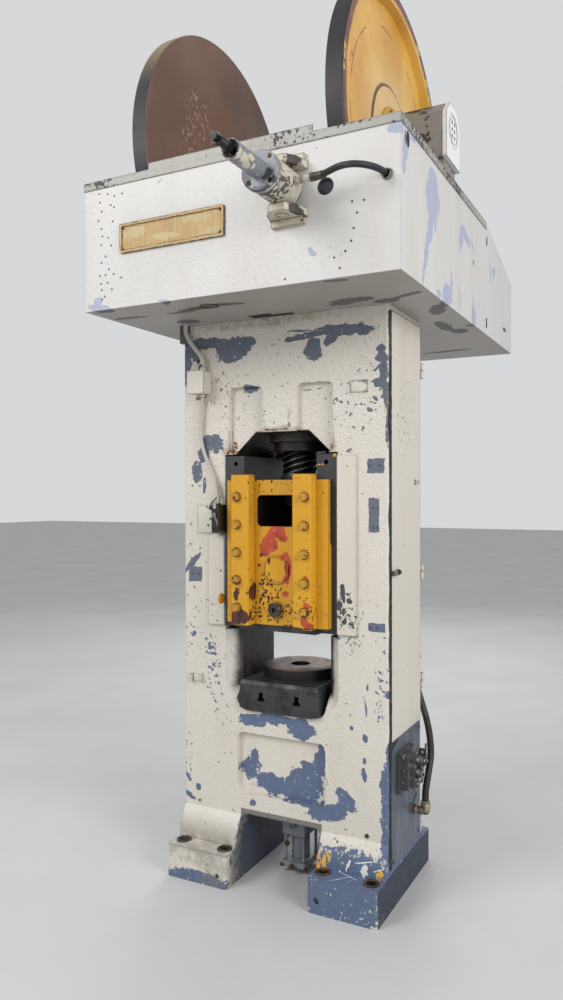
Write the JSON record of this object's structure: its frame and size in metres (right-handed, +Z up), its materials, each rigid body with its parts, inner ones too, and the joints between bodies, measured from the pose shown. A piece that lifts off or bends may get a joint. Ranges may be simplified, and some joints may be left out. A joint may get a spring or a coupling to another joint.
{
  "type": "screw press",
  "caption": "Floor-standing friction screw press: cast column, guided ram on a multi-start screw, flywheel between two large friction discs, brake cylinder on the head.",
  "frame": {"origin": "on the screw's axis, in the plane of the feet's underside", "axes": "+Z up along the screw, +X to the right seen from the front, -Y towards the front"},
  "size_m": [1.235, 2.102, 3.35],
  "materials": {
    "cream_casting": "satin",
    "cream_sheet": "satin",
    "blue_grey_sheet": "satin",
    "yellow_paint": "satin",
    "plate_gold": "satin",
    "rusty_iron": "rough",
    "dark_iron": "rough",
    "dark_steel": "worn",
    "bright_steel": "satin",
    "grey_paint": "satin",
    "bronze": "satin",
    "brass_fitting": "satin",
    "friction_leather": "matte",
    "belt_fabric": "matte",
    "black_rubber": "matte",
    "grey_sheath": "matte",
    "black_plastic": "matte"
  },
  "bodies": {
    "frame": {"column_casting": "cream_casting", "foot_bushes": "dark_steel", "head_housing": "cream_sheet", "head_cover": "cream_sheet", "rear_cover": "cream_sheet", "name_plate": "plate_gold", "gibs": "dark_iron", "gib_face_plates": "cream_sheet", "screw_nut": "bronze", "bolster_block": "dark_iron", "die_plate": "dark_iron", "die_ring": "dark_steel", "ejector_cylinder": "grey_paint", "side_panels": "blue_grey_sheet", "door_hinges": "cream_sheet", "right_bearing_housing": "cream_sheet", "left_bearing_housing": "cream_sheet", "bearing_end_cover": "cream_sheet", "motor": "grey_paint", "drive_belt": "belt_fabric", "brake_cylinder": "cream_sheet", "cylinder_cap": "bright_steel", "cap_screws": "dark_steel", "trunnion_brackets": "cream_sheet", "lever_bracket": "cream_sheet", "cylinder_hose": "black_rubber", "junction_box": "cream_sheet", "conduit": "grey_sheath", "switch_cable": "grey_sheath", "limit_switch": "black_plastic", "valve_block": "grey_paint", "stop_valve": "grey_paint", "hose_fittings": "brass_fitting", "air_hose": "black_rubber"},
    "ram": {"ram": "yellow_paint", "ram_bolts": "yellow_paint", "clamp_screw": "dark_steel", "tool_plate": "yellow_paint", "trip_rail": "yellow_paint", "thrust_washer": "bronze"},
    "screw": {"screw": "bright_steel", "screw_collar": "dark_steel", "flywheel": "dark_iron", "flywheel_lining": "friction_leather", "flywheel_nut": "dark_steel"},
    "shift_sleeve": {"thrust_sleeve": "bright_steel"},
    "disc_shaft": {"disc_shaft": "bright_steel", "left_disc": "rusty_iron", "right_disc": "yellow_paint", "shaft_pulley": "dark_iron", "shaft_nut": "dark_steel"},
    "motor_rotor": {"motor_rotor": "bright_steel"},
    "brake_rod": {"brake_rod": "bright_steel"},
    "brake_lever": {"brake_lever": "dark_iron", "brake_shoe": "friction_leather"},
    "ejector_rod": {"ejector_rod": "bright_steel"},
    "side_door": {"side_door": "cream_sheet"},
    "door_latch": {"door_latch": "cream_sheet"},
    "switch_lever": {"switch_lever": "bright_steel"},
    "valve_handle": {"valve_handle": "bright_steel"}
  },
  "joints": [
    {"name": "ram_slide", "type": "slide", "parent": "frame", "child": "ram", "axis": [0, 0, 1], "range_m": [-0.1501, 0.0801]},
    {"name": "screw_spin", "type": "hinge", "parent": "ram", "child": "screw", "pos_m": [0, 0, 1.6], "axis": [0, 0, 1], "range_deg": [-450, 240]},
    {"name": "disc_shift", "type": "slide", "parent": "frame", "child": "shift_sleeve", "axis": [1, 0, 0], "range_m": [-0.0069, 0.0069]},
    {"name": "disc_spin", "type": "hinge", "parent": "shift_sleeve", "child": "disc_shaft", "pos_m": [0, 0, 2.81], "axis": [1, 0, 0], "continuous": true},
    {"name": "motor_spin", "type": "hinge", "parent": "frame", "child": "motor_rotor", "pos_m": [-0.4, 0.8, 2.33], "axis": [1, 0, 0], "continuous": true},
    {"name": "brake_swing", "type": "hinge", "parent": "frame", "child": "brake_lever", "pos_m": [-0.06, -0.44, 2.468], "axis": [0, 0, 1], "range_deg": [0, 1.7]},
    {"name": "brake_push", "type": "slide", "parent": "frame", "child": "brake_rod", "axis": [0, 1, 0], "range_m": [0, 0.0088], "stiffness_N_per_m": 3000},
    {"name": "ejector_lift", "type": "slide", "parent": "frame", "child": "ejector_rod", "axis": [0, 0, 1], "range_m": [0, 0.05]},
    {"name": "door_swing", "type": "hinge", "parent": "frame", "child": "side_door", "pos_m": [0.443, 0.185, 1.4], "axis": [0, 0, 1], "range_deg": [0, 110]},
    {"name": "latch_turn", "type": "hinge", "parent": "side_door", "child": "door_latch", "pos_m": [0.447, -0.105, 1.212], "axis": [1, 0, 0], "range_deg": [0, 90]},
    {"name": "switch_swing", "type": "hinge", "parent": "frame", "child": "switch_lever", "pos_m": [-0.258, -0.235, 1.416], "axis": [0, 1, 0], "range_deg": [0, 20], "stiffness_Nm_per_rad": 0.3, "springref_deg": -17.19},
    {"name": "valve_turn", "type": "hinge", "parent": "frame", "child": "valve_handle", "pos_m": [0.492, 0.078, 0.478], "axis": [1, 0, 0], "range_deg": [0, 90]}
  ],
  "couplings": [
    {"joint": "ram_slide", "follows": "screw_spin", "m_per_rad": 0.019099},
    {"joint": "motor_spin", "follows": "disc_spin", "ratio": 2.1667},
    {"joint": "brake_push", "follows": "brake_swing", "m_per_rad": 0.296}
  ]
}
